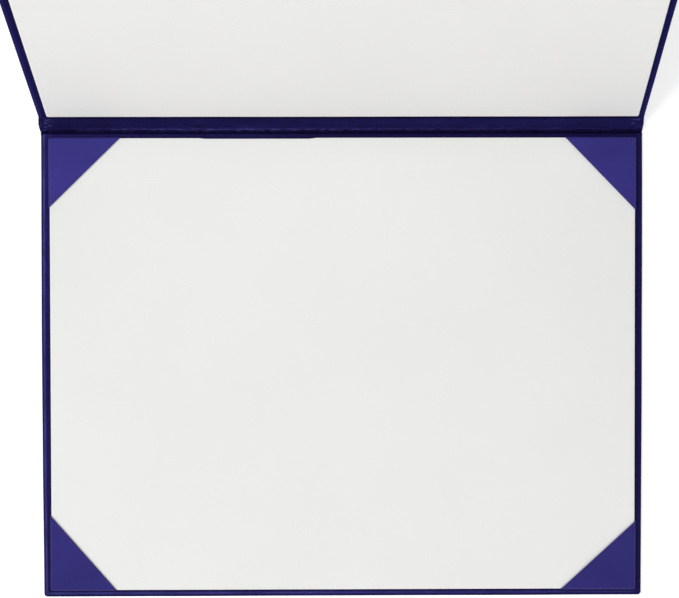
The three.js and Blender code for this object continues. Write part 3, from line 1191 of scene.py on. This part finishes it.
@dataclass
class CornerPocket:
    """A corner pocket, drawn with the card's corner at the origin and the card towards +X and +Y."""

    name: str
    corner: Vector
    leg_x: float
    leg_y: float
    side_x: int
    side_y: int
    low: float
    high: float
    sheet: float = 0.4 * MM
    glue: float = 0.1 * MM
    fold_radius: float = 0.85 * MM
    plan_radius: float = 1.1 * MM
    flap: float = 12 * MM
    crown: float = 0.14 * MM
    columns: int = 36
    lip_radius: float = 0.13 * MM
    lip_angle: float = 0.9

    def front_mesh(self, start: float, reach: float) -> BMesh:
        """Make the square from which the front is cut, with the card's corner rounded.

        Args:
            start: Where the flat front begins, past the round of the folds.
            reach: Where the square ends.

        Returns:
            The flat square.
        """
        stations = [start + (reach - start) * i / self.columns for i in range(self.columns + 1)]
        bm = sweep([Vector((start, y, self.high)) for y in stations], reach - start, self.columns)
        corner = [v for v in bm.verts if max(v.co.x, v.co.y) < start + TOUCH]
        round_off(bm, Rounded.CORNERS, corner, self.plan_radius - self.fold_radius, 3)
        return bm

    def fold_round(self, bm: BMesh, start: float, reach: float) -> None:
        """Roll the square's two near sides round the card's edges and turn the flaps in under it.

        Args:
            bm: The flat square.
            start: Where the flat front begins.
            reach: Where the square ends.
        """
        inner_corner = self.plan_radius - self.fold_radius
        low = Vector((start, start, 0))
        high = Vector((ENDLESS, ENDLESS, 0))
        rows = rolled_edge(self.fold_radius, -self.high, -self.low, [2 * MM, 5 * MM, self.flap])

        def place(origin: Vector, row: int) -> Vector:
            """Place a row on its way down round the card's edge."""
            out, down = rows[row]
            moved = outset(origin, out + self.fold_radius, low, high, inner_corner)
            return Vector((moved.x, moved.y, -down))

        rim = [
            edge for edge in bm.edges
            if edge.is_boundary
            and any(max(v.co.x, v.co.y) < reach - TOUCH for v in edge.verts)
            and all(min(v.co.x, v.co.y) < start + inner_corner + TOUCH for v in edge.verts)
        ]
        roll_rim(bm, rim, len(rows), place)

    def is_lip(self, edge: BMEdge, trim: Vector, across: Vector) -> bool:
        """Whether an edge runs along the front's long cut edge.

        Args:
            edge: The edge.
            trim: A point of the cut.
            across: The cut's normal.

        Returns:
            Whether it belongs to the lip.
        """
        if not edge.is_manifold or edge.calc_face_angle() <= self.lip_angle:
            return False
        front_low = self.high - 0.5 * MM
        return all(abs((v.co - trim).dot(across)) < 2 * TOUCH and v.co.z > front_low for v in edge.verts)

    def make(self, material: bpy.types.Material) -> bpy.types.Object:
        """Fold the pocket round the card's corner and trim it along its long edge.

        Args:
            material: Its material.

        Returns:
            The finished piece.
        """
        start = self.fold_radius - self.glue - self.sheet
        reach = max(self.leg_x, self.leg_y) + 2 * MM
        bm = self.front_mesh(start, reach)
        self.fold_round(bm, start, reach)
        across = Vector((self.leg_y, self.leg_x, 0)).normalized()
        trim = Vector((self.leg_x, 0, 0))
        bmesh.ops.bisect_plane(
            bm, geom=list(bm.verts) + list(bm.edges) + list(bm.faces), dist=ON_PLANE, plane_co=trim,
            plane_no=across, clear_outer=True,
        )
        for vert in bm.verts:
            if vert.co.z > self.high - TOUCH:
                vert.co.z += self.swelling(vert.co, (trim - vert.co).dot(across))
        thicken(bm, self.sheet)
        lip = [edge for edge in bm.edges if self.is_lip(edge, trim, across)]
        round_off(bm, Rounded.EDGES, lip, self.lip_radius, 3)
        remember_places(bm)
        bmesh.ops.scale(bm, vec=(-self.side_x, -self.side_y, 1), verts=bm.verts)
        bmesh.ops.translate(bm, vec=self.corner, verts=bm.verts)
        bmesh.ops.recalc_face_normals(bm, faces=bm.faces)
        piece = finish_mesh(f"{self.name}_sleeve", bm, material, crease=45)
        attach(piece, "base")
        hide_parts(self.name)
        return piece

    def swelling(self, point: Vector, from_lip: float) -> float:
        """Work out how far the front stands up: most in the middle, and nothing at the folds.

        Args:
            point: A point of the front.
            from_lip: How far it lies from the long edge.

        Returns:
            The height by which it stands up.
        """
        from_folds = min(point.x, point.y)
        rise = smooth_step(0, 9 * MM, from_folds) * (0.45 + 0.55 * smooth_step(0, 8 * MM, from_lip))
        uneven = 1 + 0.35 * ripple(point.x / (11 * MM), point.y / (11 * MM), self.leg_x / MM)
        return self.crown * rise * uneven


# The whole cover


class DiplomaCover:
    """The cover's pieces, built in order on the frame."""

    liner_thickness: float = 0.3 * MM
    liner_glue: float = 0.1 * MM

    def __init__(self, frame: dict) -> None:
        """Read the sizes and set where the two halves lie.
        """
        self.frame = frame
        self.sizes = CoverSizes.from_frame(frame["joints"])
        sizes = self.sizes
        self.base_place = Matrix.Translation(sizes.base_fold) @ Matrix.Rotation(math.pi, 4, "Z")
        lid_angle = sizes.spine_turn + sizes.lid_turn
        self.lid_place = Matrix.Translation(sizes.lid_fold) @ Matrix.Rotation(lid_angle, 4, "X")
        self.base = PanelHalf(
            Half.BASE, sizes, self.base_place, sizes.spine_turn, seed=1.3, ridge=0.3 * MM,
            crinkle=0.24 * MM,
        )
        self.lid = PanelHalf(
            Half.LID, sizes, self.lid_place, sizes.lid_turn, seed=8.7, ridge=0.08 * MM,
            crinkle=0.04 * MM, rim_highlight=0.3, crease_highlight=0.0,
        )

    def dress(self) -> list[bpy.types.Object]:
        """Build every piece.

        Returns:
            The pieces, in the order in which they were built.
        """
        leather = WRAP_FINISH.material()
        pieces = [
            self.base.skin(leather, "base_wrap", "spine_wrap"),
            self.lid.skin(leather, "lid_wrap"),
            self.base.lining(leather, 512, "base_hinge_lining", "spine_hinge_lining"),
            self.lid.lining(leather, 320, "lid_hinge_lining"),
        ]
        pieces += self.papers()
        pieces += self.pockets()
        board = BOARD_FINISH.material()
        for node in ("base_board", "lid_board"):
            mesh = self.frame["nodes"][node].data
            mesh.materials.clear()
            mesh.materials.append(board)
        return pieces

    def papers(self) -> list[bpy.types.Object]:
        """Build the white card and the lid's liner, which is as large as the card.

        Returns:
            The card and the liner.
        """
        low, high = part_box("base_card")
        width, depth = high.x - low.x, high.y - low.y
        card_low = self.base_place.inverted() @ Vector(((low.x + high.x) / 2, high.y, low.z))
        card = PaperSheet(
            "base_card_sheet", "base_card", high.z - low.z, self.base_place, "base",
            CardOutline().drift,
        )
        pieces = [card.make(width, depth, card_low, CARD_FINISH.material())]
        liner_box_low, liner_box_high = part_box("lid_liner")
        middle = Vector(((liner_box_low.x + liner_box_high.x) / 2, 0, 0))
        liner_x = (self.lid_place.inverted() @ middle).x
        liner_low = Vector((liner_x, card_low.y, self.sizes.inner_top + self.liner_glue))
        liner = PaperSheet(
            "lid_liner_sheet", "lid_liner", self.liner_thickness, self.lid_place, "lid",
            LinerOutline().drift,
        )
        pieces.append(liner.make(width, depth, liner_low, LINER_FINISH.material()))
        return pieces

    def pockets(self) -> list[bpy.types.Object]:
        """Build the four corner pockets, each with the legs of its own node.

        Returns:
            The pockets.
        """
        card_low, card_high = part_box("base_card")
        pieces = []
        for end, side_y, finish in (("front", -1, FRONT_POCKET_FINISH), ("back", 1, BACK_POCKET_SHEEN_FINISH)):
            material = finish.material()
            for side, side_x in (("left", -1), ("right", 1)):
                name = f"pocket_{end}_{side}"
                low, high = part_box(name)
                corner = Vector((
                    card_low.x if side_x < 0 else card_high.x,
                    card_low.y if side_y < 0 else card_high.y,
                    0,
                ))
                trim_x, trim_y = POCKET_TRIMS[name]
                leg_x = (high.x - corner.x if side_x < 0 else corner.x - low.x) + trim_x
                leg_y = (high.y - corner.y if side_y < 0 else corner.y - low.y) + trim_y
                pocket = CornerPocket(name, corner, leg_x, leg_y, side_x, side_y, low.z, high.z)
                pieces.append(pocket.make(material))
        return pieces


# The studio


@dataclass(frozen=True)
class Softbox:
    """A square lamp that points at the cover."""

    name: str
    place: tuple[float, float, float]
    size: float
    watts: float

    def hang(self) -> None:
        """Put the lamp in the scene."""
        data = bpy.data.lights.new(self.name, "AREA")
        data.shape = "SQUARE"
        data.size = self.size
        data.energy = self.watts
        lamp = bpy.data.objects.new(self.name, data)
        lamp.location = self.place
        lamp.rotation_euler = (-Vector(self.place)).to_track_quat("-Z", "Y").to_euler()
        bpy.context.scene.collection.objects.link(lamp)


LAMPS = (
    Softbox("top_softbox", (-1.0, 0.25, 2.1), size=0.6, watts=17),
    Softbox("left_softbox", (-2.4, -0.3, 1.5), size=0.6, watts=19),
    Softbox("front_softbox", (-0.1, -2.2, 2.6), size=0.8, watts=27),
    Softbox("low_softbox", (0.5, -2.8, 1.2), size=1.8, watts=15),
    Softbox("right_softbox", (2.6, -0.3, 1.6), size=1.4, watts=11),
)


@dataclass(frozen=True)
class Studio:
    """A white floor, soft lamps and the camera above the cover."""

    image_width: int = 679
    focal_px: float = 1372.4
    centre_px: float = 373.25
    sensor: float = 36.0
    camera_place: tuple[float, float, float] = (0.01093, 0.0426, 0.66056)
    camera_turn: tuple[float, float, float] = (-0.9989, -0.3415, -0.0922)
    clip_start: float = 0.01
    clip_end: float = 50.0
    world_light: float = 0.25
    backdrop: float = 1.0
    floor_size: float = 6.0
    floor_drop: float = 0.02 * MM
    floor_grey: float = 0.86
    floor_roughness: float = 0.9
    floor_glow: float = 0.45

    def build(self) -> None:
        """Build the camera, the lamps, the world and the floor."""
        self.camera()
        for lamp in LAMPS:
            lamp.hang()
        self.world()
        self.floor()
        bpy.context.scene.view_settings.view_transform = "Standard"

    def camera(self) -> None:
        """Set the camera as the photograph was taken, with its turn in degrees."""
        data = bpy.data.cameras.new("camera")
        data.sensor_width = self.sensor
        data.lens = self.sensor * self.focal_px / self.image_width
        data.shift_x = (self.image_width / 2 - self.centre_px) / self.image_width
        data.clip_start = self.clip_start
        data.clip_end = self.clip_end
        camera = bpy.data.objects.new("camera", data)
        camera.location = self.camera_place
        camera.rotation_euler = [math.radians(angle) for angle in self.camera_turn]
        bpy.context.scene.collection.objects.link(camera)
        bpy.context.scene.camera = camera

    @staticmethod
    def shown_directly(tree: bpy.types.NodeTree) -> bpy.types.NodeSocket:
        """Find out whether a ray shows the surface itself, and doesn't light something with it.

        Args:
            tree: The material's or the world's nodes.

        Returns:
            A socket that gives 1 for camera, glossy and transmission rays, and 0 for others.
        """
        path = tree.nodes.new("ShaderNodeLightPath")
        first = tree.nodes.new("ShaderNodeMath")
        first.operation = "MAXIMUM"
        second = tree.nodes.new("ShaderNodeMath")
        second.operation = "MAXIMUM"
        tree.links.new(path.outputs["Is Camera Ray"], first.inputs[0])
        tree.links.new(path.outputs["Is Glossy Ray"], first.inputs[1])
        tree.links.new(first.outputs["Value"], second.inputs[0])
        tree.links.new(path.outputs["Is Transmission Ray"], second.inputs[1])
        return second.outputs["Value"]

    def world(self) -> None:
        """Light the cover evenly from all round, with a white backdrop behind it."""
        world = bpy.data.worlds.new("studio")
        bpy.context.scene.world = world
        world.use_nodes = True
        tree = world.node_tree
        background = tree.nodes["Background"]
        background.inputs["Color"].default_value = (1, 1, 1, 1)
        strength = tree.nodes.new("ShaderNodeMapRange")
        strength.inputs["To Min"].default_value = self.world_light
        strength.inputs["To Max"].default_value = self.backdrop
        tree.links.new(self.shown_directly(tree), strength.inputs["Value"])
        tree.links.new(strength.outputs["Result"], background.inputs["Strength"])

    def floor(self) -> None:
        """Lay the pale floor just under the cover."""
        bm = bmesh.new()
        bmesh.ops.create_grid(bm, x_segments=1, y_segments=1, size=self.floor_size / 2)
        bmesh.ops.translate(bm, vec=(0, 0, -self.floor_drop), verts=bm.verts)
        shader = Shader("white_floor", Follow.OBJECT)
        surface = shader.surface
        grey = self.floor_grey
        surface.inputs["Base Color"].default_value = (grey, grey, grey, 1)
        surface.inputs["Roughness"].default_value = self.floor_roughness
        surface.inputs["Specular IOR Level"].default_value = 0.0
        surface.inputs["Emission Color"].default_value = (1, 1, 1, 1)
        glow = shader.tree.nodes.new("ShaderNodeMath")
        glow.operation = "MULTIPLY"
        glow.inputs[1].default_value = self.floor_glow
        shader.join(self.shown_directly(shader.tree), glow.inputs[0])
        shader.join(glow.outputs["Value"], surface.inputs["Emission Strength"])
        finish_mesh("floor", bm, shader.material, crease=30)


def main() -> None:
    """Build the cover and its studio."""
    logging.basicConfig(level=logging.INFO, format="%(name)s: %(message)s")
    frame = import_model()
    cover = DiplomaCover(frame)
    for piece in cover.dress():
        log.info("%s: %d faces", piece.name, len(piece.data.polygons))
    Studio().build()
    bpy.context.view_layer.update()


if __name__ == "__main__":
    main()
